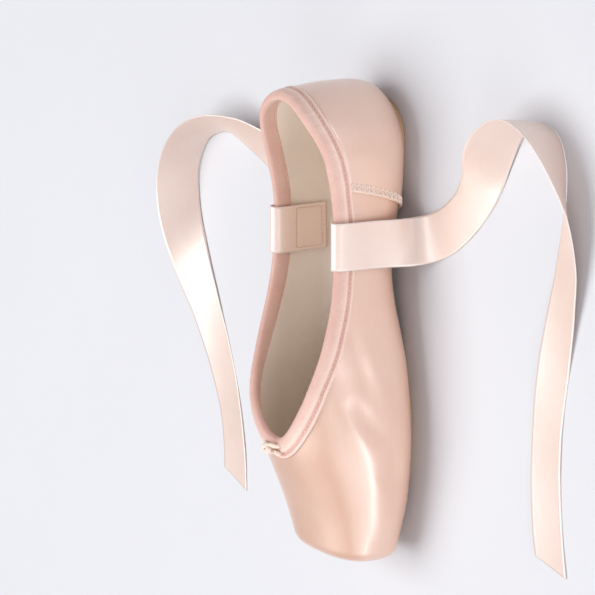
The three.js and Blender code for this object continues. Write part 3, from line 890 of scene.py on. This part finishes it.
def make_zigzag():
    """The thread that loops to and fro over the heel piece's folded edge, on each side."""
    rise = np.linspace(*ZIGZAG_RISE, SEAM_SAMPLES)
    length = lengths_along(seam_point(rise, ZIGZAG_LINE, 0)[0])[-1]
    turns = length / ZIGZAG_PITCH
    fine = np.linspace(0, 1, int(turns * ZIGZAG_STEPS))
    phase = 2 * np.pi * turns * fine
    share = 0.5 + 0.5 * np.cos(phase) + ripples(ZIGZAG_UNEVEN, phase)
    to_and_fro = blend(*ZIGZAG_SPAN, share)
    sway = ZIGZAG_LOOP * ZIGZAG_PITCH / length * np.sin(2 * phase)
    at = np.clip(blend(*ZIGZAG_RISE, fine + sway), 0, 1)
    path, face = seam_point(at, np.clip(to_and_fro, *ZIGZAG_LIMITS), ZIGZAG_OFF + ZIGZAG_LIFT * np.sin(phase))
    parts = [sweep((path * flip)[None], (face * flip)[None], ZIGZAG_THREAD, ZIGZAG_SIDES)
             for flip in ([1, 1, 1], [1, -1, 1])]
    add_threads("heel_zigzag", parts, THREAD_WHITE, "drawstring_cord", tone=0.7)


# Binding: the rolled casing of the drawstring, its stitched groove and a turned lip below

# Profile rows as depth, offset and tone. The tone is painted shade in the groove, down the lower flange and
# inside the collar, and painted highlight along the crest and the upper flange.
BINDING_OUTSIDE = table(
    "depth off tone",
    (8.2, 0.22, 0.9), (8.42, 0.42, 0.95), (8.42, 0.75, 1), (8.15, 0.98, 1), (7.75, 1.05, 1),
    (7.35, 0.95, 0.85), (7, 0.72, 0.4), (6.6, 0.6, 0.15), (6.2, 0.58, 0.1), (5.8, 0.66, 0.2),
    (5.4, 0.9, 0.55), (5, 1.2, 0.9), (4.5, 1.4, 1), (3.9, 1.47, 0.85), (3.1, 1.46, 0.65),
    (2.2, 1.44, 0.55), (1.3, 1.38, 0.5), (0.5, 1.15, 0.45), (-0.2, 0.75, 0.38), (-0.8, 0.2, 0.3),
    (-1.2, -0.5, 0.25),
)
BINDING_INSIDE = table(
    "depth off tone",
    (-1.25, -0.4, 0.35), (-0.9, 0.3, 0.35), (-0.2, 0.75, 0.4), (0.8, 1, 0.45), (2.5, 1.02, 0.45),
    (4.5, 0.95, 0.45), (6.3, 0.85, 0.45), (7.3, 0.75, 0.5), (7.55, 0.5, 0.5), (7.4, 0.22, 0.4),
    (4, 0.18, 0.4), (0.5, 0.18, 0.4),
)
BINDING_UNDER = table("depth off tone", (0.5, 0.2, 0.4), (5, 0.2, 0.4))
BINDING_RIBS = (90, 120, 110)
GATHERS = table("rise rate start", (0.05, 59, 0), (0.06, 97, 1.1), (0.045, 151, 2.3))
CASING_DEPTH = 2
CASING_TOP = (-1, 1.5)
CASING_FOOT = (4.3, 5.6)
FLANGE = (3.8, 6)
HEEL_LAP = 0.75
HEEL_LAP_ROLL = 0.35
HEEL_LAP_ENDS = (-0.015, 0.02)


def binding_lap(place):
    """How far the binding is raised where it laps the heel piece."""
    past_seam = np.abs(place) - place_of(SEAM_TOP_STATION)
    return HEEL_LAP * (1 - smooth(past_seam, *HEEL_LAP_ENDS))


def gathers(place, depth):
    """Small uneven puckers of the drawn casing, by the way gone round the topline."""
    gone = lengths_along(bare_skin(PLACES, CASING_DEPTH))
    turn = np.pi * np.interp(np.abs(place), PLACES, gone) / gone[-1] * np.where(place < 0, -1, 1)
    return ripples(GATHERS, turn) * smooth(depth, *CASING_TOP) * (1 - smooth(depth, *CASING_FOOT))


def make_binding():
    place = ring_places(*BINDING_RIBS)[:, None]
    depth = BINDING_OUTSIDE["depth"]
    lap = binding_lap(place) * blend(HEEL_LAP_ROLL, 1.0, smooth(depth, *FLANGE))
    outside = skin(place, depth, BINDING_OUTSIDE["off"] + gathers(place, depth) + lap)
    inside = inner_skin(place, BINDING_INSIDE["depth"], BINDING_INSIDE["off"])
    under = skin(place, BINDING_UNDER["depth"], BINDING_UNDER["off"])
    sections = np.hstack([outside, inside, under])
    # The tone of each row paints shade and highlight across the binding's profile.
    tone = np.hstack([part["tone"] for part in (BINDING_OUTSIDE, BINDING_INSIDE, BINDING_UNDER)])
    add_loft("binding_tape_roll", sections, True, BINDING_TAPE, "binding_tape", ["binding"],
             cloth=grid_cloth(sections)[1], tone=tone)


STITCH_PITCH = 2.1
STITCH_LENGTH = 1.5
STITCH_THREAD = 0.23
STITCH_SIDES = 6
STITCH_RIBS = (200, 200, 200)
GROOVE_DEPTH = 6.2
GROOVE_OFF = 0.64
RIM_DEPTH = 6.4
RIM_OFF = 0.9
STITCH_RADII = STITCH_THREAD * np.array([0.15, 0.75, 1, 1, 1, 0.75, 0.15])
STITCH_ARCH = np.array([-0.12, 0.02, 0.1, 0.13, 0.1, 0.02, -0.12])


def stitch_line(line, face):
    """Short threads an even pitch apart along a line on a surface, each dipping in at its ends."""
    gone = lengths_along(line)
    at = np.arange(STITCH_PITCH / 2, gone[-1], STITCH_PITCH)
    middles = sampled(at, gone, line)[:, None]
    along = unit(sampled(at, gone, np.gradient(line, axis=0)))[:, None]
    up = unit(sampled(at, gone, face))[:, None]
    reach = np.linspace(-0.5, 0.5, len(STITCH_RADII)) * STITCH_LENGTH
    paths = middles + along * reach[:, None] + up * STITCH_ARCH[:, None]
    return sweep(paths, up, STITCH_RADII, STITCH_SIDES)


def make_binding_stitches():
    """One row in the groove outside, and one inside the collar."""
    place = ring_places(*STITCH_RIBS)
    outside = skin(place, GROOVE_DEPTH, GROOVE_OFF + binding_lap(place))
    inside = inner_skin(place, RIM_DEPTH, RIM_OFF)
    parts = [stitch_line(outside, outward(bare_skin(place, GROOVE_DEPTH))),
             stitch_line(inside, -outward(bare_skin(place, RIM_DEPTH)))]
    add_threads("binding_stitches", parts, THREAD_PEACH, "binding_tape", tone=0.6)


# Knotted drawstring

CORD_RADIUS = 1.05
CORD_STEP = 0.22
CORD_SIDES = 16
CORD_STRANDS = 4
CORD_LAY = 2.6
CORD_RIDGE = 0.1
CORD_TIP = 0.8
CORD_TIP_LEAST = 0.02
CORD_ASIDE = (0.31, 0.12, 0.94)
KNOT_DEPTH = 1.5
KNOT_OFF = 4.1
KNOT_STEPS = 12

# Each drawstring end, as (ahead, across, above) from the middle of the knot
KNOT_PATHS = (
    ((-0.6, 6, -3.2), (-1.2, 4.4, -1.4), (-1.7, 2.4, -0.8), (-1.7, 0.2, 0.4), (-1.2, -1.9, 1.2),
     (0, -2.7, 1.3), (1.2, -1.9, 1.2), (1.7, 0.2, 0.4), (1.6, 2.4, -0.8), (2.2, 3.9, -1.1),
     (3, 5, -1.5), (3.6, 5.7, -1.8)),
    ((-0.6, -6, -3.2), (-0.8, -4.4, -1.4), (-0.9, -2.4, -0.8), (-0.9, -0.2, 0.3), (-0.7, 1.9, 1.2),
     (0, 2.6, 1.3), (0.7, 1.9, 1.2), (0.9, -0.2, 0.3), (0.9, -2.4, -0.8), (1.8, -3.6, -1.1),
     (2.7, -4.4, -1.5), (3.8, -4.9, -1.8)),
)


def twisted_cord(path):
    """A laid cord along a path, with its strands as ridges and its ends rounded."""
    along = unit(np.gradient(path, axis=0))
    normal = unit(np.cross(along, CORD_ASIDE))
    count = np.arange(len(path))
    from_end = np.minimum(count, count[::-1]) * CORD_STEP
    tip = 1 - np.clip(from_end / CORD_TIP, 0, 1)
    radius = CORD_RADIUS * np.sqrt(np.clip(1 - tip**2, CORD_TIP_LEAST, 1))
    points, faces = sweep(path[None], normal[None], radius[None], CORD_SIDES)
    turn = np.arange(CORD_SIDES) * 2 * np.pi / CORD_SIDES
    lay = count * CORD_STEP * 2 * np.pi / CORD_LAY
    ridge = 1 + CORD_RIDGE * np.cos(CORD_STRANDS * turn + lay[:, None])
    rings = points.reshape(len(path), CORD_SIDES, 3) - path[:, None]
    return (path[:, None] + rings * ridge[..., None]).reshape(-1, 3), faces


def make_knot():
    seat = skin(TOE_PLACE, KNOT_DEPTH, np.array(KNOT_OFF))
    above = outward(bare_skin(TOE_PLACE, KNOT_DEPTH))
    across = np.array([0.0, 1.0, 0.0])
    axes = np.stack([np.cross(across, above), across, above])
    runs = [resampled(seat + catmull(path, KNOT_STEPS) @ axes, CORD_STEP) for path in KNOT_PATHS]
    parts = [twisted_cord(run) for run in runs]
    add_threads("drawstring_tied", parts, CORD_COTTON, "drawstring_cord", ["drawstring_knot"], tone=0.65)


# Ribbons

RIBBON_STEPS = 24
RIBBON_CALM = 7
RIBBON_COLUMNS = 19
RIBBON_FREE = (78, 120)
RIBBON_END = 60
RIBBON_END_CALM = 0.4
RIBBON_CURL = 0.35
RIBBON_RIPPLE = 0.225
TWIST_LENGTH = 11
TWIST_START = 1.3
WAVE_LENGTH = 17
WAVE_SHARE = 0.6
RIBBON_BODY = 0.55
SELVEDGE = (0.44, 0.475)
SELVEDGE_SWELL = 0.35
SELVEDGE_PALE = (0.455, 0.475)
RIBBON_CUT = 9
RIBBON_LOWEST = 0.05


def ribbon_frame(route, side):
    """Middle line of a ribbon with the directions along, across and out of it, a step at a time."""
    points = bare_skin(place_of(RIBBON_STATION), RIBBON_COLLAR["depth"])
    hung = points + outward(points) * RIBBON_COLLAR["off"][:, None]
    hung[:, 1] *= side
    tilt = np.radians(route["tilt"])
    height = route["z"] + RIBBON_WIDTH / 2 * np.abs(np.sin(tilt))
    knots = np.vstack([hung, xyz(route["x"], route["y"], height)])
    middle = catmull(knots, RIBBON_STEPS)
    count = np.linspace(0, len(knots) - 1, len(middle))
    tilts = np.interp(count, np.arange(len(knots)), np.hstack([np.zeros(len(hung)), tilt]))
    along = unit(np.gradient(middle, axis=0))
    level = unit(np.cross(along, [0, 0, 1]))
    level = np.where((count < len(hung))[:, None], [side, 0, 0], level)
    level = square_to(along, level)
    face = np.cross(along, level)
    across = level * np.cos(tilts)[:, None] + face * np.sin(tilts)[:, None]
    gone = lengths_along(middle)
    at = np.linspace(0, gone[-1], int(gone[-1]) + 1)
    across = sampled(at, gone, across)
    ends = RIBBON_CALM // 2
    padded = np.pad(across, ((ends, ends), (0, 0)), "edge")
    calm = np.ones(RIBBON_CALM) / RIBBON_CALM
    across = np.stack([np.convolve(padded[:, axis], calm, "valid") for axis in range(3)], -1)
    middle = sampled(at, gone, middle)
    along = unit(np.gradient(middle, axis=0))
    across = square_to(along, across)
    return middle, along, across, np.cross(along, across), at, gone[-1]


def make_ribbon(name, node, route, side):
    middle, along, across, face, at, length = ribbon_frame(route, side)
    share = np.linspace(-0.5, 0.5, RIBBON_COLUMNS)[None]
    free = smooth(at, *RIBBON_FREE) * (1 - RIBBON_END_CALM * smooth(at, length - RIBBON_END, length))
    twist = np.sin(at / TWIST_LENGTH + TWIST_START * side)[:, None] * (share * 2)
    wave = WAVE_SHARE * np.sin(at / WAVE_LENGTH)[:, None]
    bow = free[:, None] * (RIBBON_CURL * (1 - 4 * share**2) + RIBBON_RIPPLE * (twist + wave))
    thick = RIBBON_THICK / 2 * (RIBBON_BODY + SELVEDGE_SWELL * smooth(np.abs(share), *SELVEDGE))
    cut = np.clip((at - (length - 2 * RIBBON_CUT)) / (2 * RIBBON_CUT), 0, 1)[:, None]
    slide = -cut * RIBBON_CUT * (share + 0.5)
    spread = across[:, None] * (share * RIBBON_WIDTH)[..., None]
    flat = middle[:, None] + spread + along[:, None] * slide[..., None]
    top = flat + face[:, None] * (bow + thick)[..., None]
    bottom = flat + face[:, None] * (bow - thick)[..., None]
    sections = np.hstack([top, bottom[:, ::-1]])
    sections[..., 2] = np.maximum(sections[..., 2], RIBBON_LOWEST)
    run = np.broadcast_to(along[:, None], sections.shape)
    width = np.hstack([share, share[:, ::-1]]) * RIBBON_WIDTH
    cloth = xyz(at[:, None], width, 0) * MM
    edge = smooth(np.abs(width) / RIBBON_WIDTH, *SELVEDGE_PALE)
    piece = add_loft(name, sections, False, RIBBON_SATIN, "ribbon_satin", [node],
                     thread=run, cloth=cloth, edge=edge)


SEWN_FROM = 2.5
SEWN_TO = 17
SEWN_ASIDE = 9.3
SEWN_OFF = 0.1
SEWN_SAMPLES = 60


def make_ribbon_stitches():
    """The box of stitches that holds each ribbon inside the collar."""
    corners = np.array([(SEWN_TO, -SEWN_ASIDE), (SEWN_FROM, -SEWN_ASIDE), (SEWN_FROM, SEWN_ASIDE),
                        (SEWN_TO, SEWN_ASIDE), (SEWN_TO, -SEWN_ASIDE)])
    parts = []
    for route, side in ((RIBBON_OUTER, 1), (RIBBON_INNER, -1)):
        middle, _, across, face, at, _ = ribbon_frame(route, side)
        inward = face * np.where(face[:, 1:2] * side > 0, -1, 1)
        for start, stop in zip(corners, corners[1:]):
            run = blend(start, stop, np.linspace(0, 1, SEWN_SAMPLES)[:, None])
            middles, asides, inwards = (sampled(run[:, 0], at, v) for v in (middle, across, inward))
            line = middles + asides * run[:, 1:] + inwards * (RIBBON_THICK / 2 + SEWN_OFF)
            parts.append(stitch_line(line, inwards))
    add_threads("ribbon_stitches", parts, THREAD_PEACH, "ribbon_satin", tone=0.7)


# Soles

SOLE_CROWDING = 0.8
SOLE_TIP = 0.2
SOLE_STEPS = 240
SOLE_COLUMNS = 60
SOLE_EDGE_DROP = 0.15
BEVEL_STEPS = 7
CHANNEL_INSET = 4
CHANNEL_DEEP = 0.35
CHANNEL_WIDE = 0.6
INSOLE_TIP = 0.1
INSOLE_STEPS = 150
INSOLE_COLUMNS = 40
INSOLE_SQUARE = 10
INSOLE_EDGE_LEAST = 0.04


def underside(x, y):
    """Height of the form's underside."""
    x, y = np.broadcast_arrays(x, y)
    station = station_of(x)
    middle = lift(station) + SOLE_THICK + SEAT + column(SECTIONS, "wide", station)
    drop = crossing(lambda t: form_value(xyz(x, y, middle - t)), x.shape)
    return middle - drop


def plate_stations(back, front, count):
    """A column of stations from one end of a plate to the other, crowded toward both ends."""
    even = np.linspace(0, 1, count)[:, None]
    crowded = (1 - np.cos(np.pi * even)) / 2
    return blend(back, front, blend(even, crowded, SOLE_CROWDING))


def make_outsole():
    station = plate_stations(SOLE_BACK + SOLE_TIP, SOLE_FRONT - SOLE_TIP, SOLE_STEPS)
    x = x_of(station)
    half = crossing(lambda y: sole_value(x, y), x.shape)
    bevel = np.minimum(SOLE_BEVEL, half / 2)
    across = np.linspace(-1, 1, SOLE_COLUMNS)
    low_y = (half - bevel) * across
    inside = -sole_value(x, low_y) * half
    low_z = lift(station) + CHANNEL_DEEP * np.exp(-(((inside - CHANNEL_INSET) / CHANNEL_WIDE) ** 2))
    turn = np.linspace(0, np.pi / 2, BEVEL_STEPS)[1:]
    edge_y = half - bevel + bevel * np.sin(turn)
    edge_z = lift(station) + bevel * (1 - np.cos(turn))
    top_y = half * across[::-1]
    top_z = underside(x, top_y) - SEAT
    top_z[:, [0, -1]] -= SOLE_EDGE_DROP
    y = np.hstack([low_y, edge_y, top_y, -edge_y[:, ::-1]])
    z = np.hstack([low_z, edge_z, top_z, edge_z[:, ::-1]])
    sections = xyz(x, y, z)
    add_loft("leather_outsole", sections, False, SOLE_LEATHER, "sole_leather", ["outsole"])


def make_insole():
    station = plate_stations(INSOLE_BACK, INSOLE_FRONT - INSOLE_TIP, INSOLE_STEPS)
    x = x_of(station)
    low, wide = column(SECTIONS, "low", station), column(SECTIONS, "wide", station)
    reach = (1 - (1 - INSOLE_RISE / wide) ** low) ** (1 / low)
    heel = np.maximum(0, 1 - station / HEEL_ROUND)
    toe = np.maximum(0, 1 - (INSOLE_FRONT - station) / INSOLE_FRONT_ROUND)
    half = column(SECTIONS, "half", station) * np.sqrt(reach**2 - heel**2) * np.sqrt(1 - toe**2)
    share = np.sin(np.linspace(-np.pi / 2, np.pi / 2, INSOLE_COLUMNS))
    y = half * share
    floor = underside(x, y) + (wall_at(station) + 2 * SEAT)
    crown = np.sqrt(np.maximum(1 - np.abs(share) ** INSOLE_SQUARE, INSOLE_EDGE_LEAST))
    top = floor + INSOLE_THICK * crown
    y = np.hstack([y, y[:, ::-1]])
    z = np.hstack([top, floor[:, ::-1]])
    sections = xyz(x, y, z)
    add_loft("cotton_insole", sections, False, INSOLE_COTTON, "insole_cotton", ["insole"],
             cloth=sections * MM, tone=0.5)


# Studio

STUDIO_FLOOR = 2.2
STUDIO_SWEEP = 0.9
STUDIO_WALL = 2.4
STUDIO_RINGS = (0, 0.3, 0.8, 1.5)
STUDIO_TURNS = 13
STUDIO_SIDES = 72
AIR_COLOUR = "#f4f6fb"
AIR_STRENGTH = 0.42

# Each lamp: its name, its place, what it faces, its two sides and its power
LIGHTS = (
    ("strip", (0.55, 1.02, 0.16), (0.05, 0, 0.03), (1.1, 0.14), 3.3),
    ("heel_side", (-0.62, 1.0, 0.12), (-0.06, 0, 0.03), (0.6, 0.14), 1.8),
    ("front", (0.72, 0.95, 0.62), (0.05, 0, 0.03), (1.3, 0.85), 3.7),
    ("top", (0.1, -0.42, 1.5), (0, 0, 0), (1.5, 1.5), 24),
)


def make_studio():
    """A pale floor that sweeps up into a wall all round."""
    turn = np.linspace(0, np.pi / 2, STUDIO_TURNS)
    rim = STUDIO_FLOOR + STUDIO_SWEEP
    radius = np.hstack([STUDIO_RINGS, STUDIO_FLOOR + STUDIO_SWEEP * np.sin(turn), rim])[:, None]
    level = np.zeros(len(STUDIO_RINGS))
    height = np.hstack([level, STUDIO_SWEEP * (1 - np.cos(turn)), STUDIO_WALL])[:, None]
    around = np.linspace(0, 2 * np.pi, STUDIO_SIDES, endpoint=False)
    points = xyz(radius * np.cos(around), radius * np.sin(around), height)
    faces = grid_faces(len(radius), len(around), False)
    add_mesh("studio", points, faces, plaster("studio_paint", "#dfdfe2", "#dbdbdf"))


def make_lights():
    """Even light from all round, and soft white rectangular lamps that each face a point."""
    world = bpy.data.worlds.new("studio_air")
    world.use_nodes = True
    air = world.node_tree.nodes["Background"].inputs
    air["Color"].default_value = linear(AIR_COLOUR)
    air["Strength"].default_value = AIR_STRENGTH
    bpy.context.scene.world = world
    for name, place, aim, size, power in LIGHTS:
        lamp = bpy.data.lights.new(name, "AREA")
        lamp.shape = "RECTANGLE"
        lamp.size, lamp.size_y = size
        lamp.energy = power
        made = add_object(name, lamp)
        made.location = place
        made.rotation_euler = (Vector(aim) - Vector(place)).to_track_quat("-Z", "Y").to_euler()


def make_camera():
    elevation, heading = np.radians((VIEW_ELEVATION, VIEW_HEADING))
    back = Vector((-math.sin(heading) * math.cos(elevation), math.cos(heading) * math.cos(elevation),
                   math.sin(elevation)))
    heel = Vector((-1, 0, 0))
    up = (heel - back * heel.dot(back)).normalized()
    right = up.cross(back)
    lens = bpy.data.cameras.new("camera")
    lens.sensor_fit = "HORIZONTAL"
    lens.angle = 2 * math.atan(VIEW_WIDTH / 2 / VIEW_DISTANCE)
    lens.clip_start = LENS_NEAR
    camera = add_object("camera", lens)
    turn = Matrix((right, up, back)).transposed().to_4x4()
    aim = VIEW_TARGET - right * TARGET_ASIDE + up * TARGET_BELOW
    camera.matrix_world = Matrix.Translation(aim + back * VIEW_DISTANCE) @ turn
    bpy.context.scene.camera = camera


make_camera()
make_ribbon("ribbon_outer_satin", "ribbon_outer", RIBBON_OUTER, 1)
make_ribbon("ribbon_inner_satin", "ribbon_inner", RIBBON_INNER, -1)
make_ribbon_stitches()
make_upper()
make_lining()
make_heel_cover()
make_zigzag()
make_binding()
make_binding_stitches()
make_knot()
make_outsole()
make_insole()
make_studio()
make_lights()
bpy.context.scene.view_settings.view_transform = "Standard"
